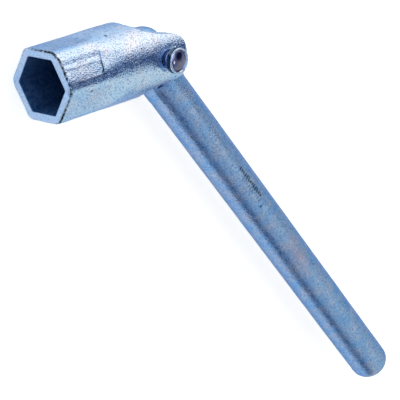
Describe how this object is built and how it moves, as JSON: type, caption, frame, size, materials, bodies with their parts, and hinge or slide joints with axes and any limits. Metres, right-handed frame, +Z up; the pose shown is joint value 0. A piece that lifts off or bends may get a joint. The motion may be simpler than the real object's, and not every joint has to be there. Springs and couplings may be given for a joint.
{
  "type": "hinged socket wrench",
  "caption": "Hinged hexagon socket wrench: a forged socket head with a forked rear, riveted to a round bar handle that swings to either side.",
  "frame": {"origin": "middle of the wrench's footprint, on the plane that its lowest point touches", "axes": "+Z up along the rivet; +X out of the socket's mouth; +Y to the side that the handle is swung to at rest"},
  "size_m": [0.2086, 0.2084, 0.042],
  "materials": {
    "forged_zinc": "forged and blasted steel with bluish clear zinc plating, fine stipple, dark worn edges at the mouth",
    "bar_zinc": "hot-rolled bar with bluish clear zinc plating, faint lengthwise drawing marks",
    "washer_zinc": "turned steel, zinc plated",
    "rivet_steel": "polished steel dome"
  },
  "bodies": {
    "head": {"socket_head": "forged_zinc", "rivet_pin": "rivet_steel", "upper_washer": "washer_zinc", "lower_washer": "washer_zinc"},
    "handle": {"handle_bar": "bar_zinc"}
  },
  "joints": [
    {"name": "handle_swing", "type": "hinge", "parent": "head", "child": "handle", "pos_m": [0.0481, -0.08815, 0.021], "axis": [0, 0, 1], "range_deg": [-43, 147]}
  ]
}
